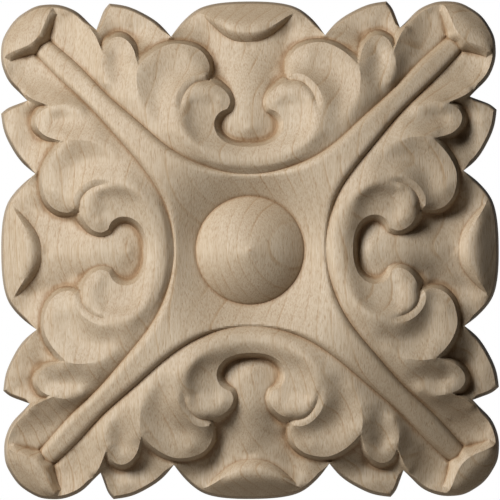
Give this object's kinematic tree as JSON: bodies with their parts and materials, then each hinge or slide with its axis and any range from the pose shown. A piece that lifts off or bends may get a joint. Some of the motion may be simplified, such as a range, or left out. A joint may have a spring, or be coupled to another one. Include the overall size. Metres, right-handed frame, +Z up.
{
  "type": "carved wooden rosette",
  "caption": "Square carved wooden rosette with a round button, crossing arms, scrolled leaves and curled lips, flat at the back for fixing to furniture or panelling.",
  "frame": {"origin": "centre of the flat back face, on the centre line of the button", "axes": "+Z up as in the picture, +X to the viewer's right, +Y out of the back into the wall or panel, so the carved face looks towards -Y"},
  "size_m": [0.102, 0.022, 0.102],
  "materials": {
    "maple": "unfinished, sanded and carved, matte"
  },
  "bodies": {
    "root": {"carved_rosette": "maple"}
  },
  "joints": []
}
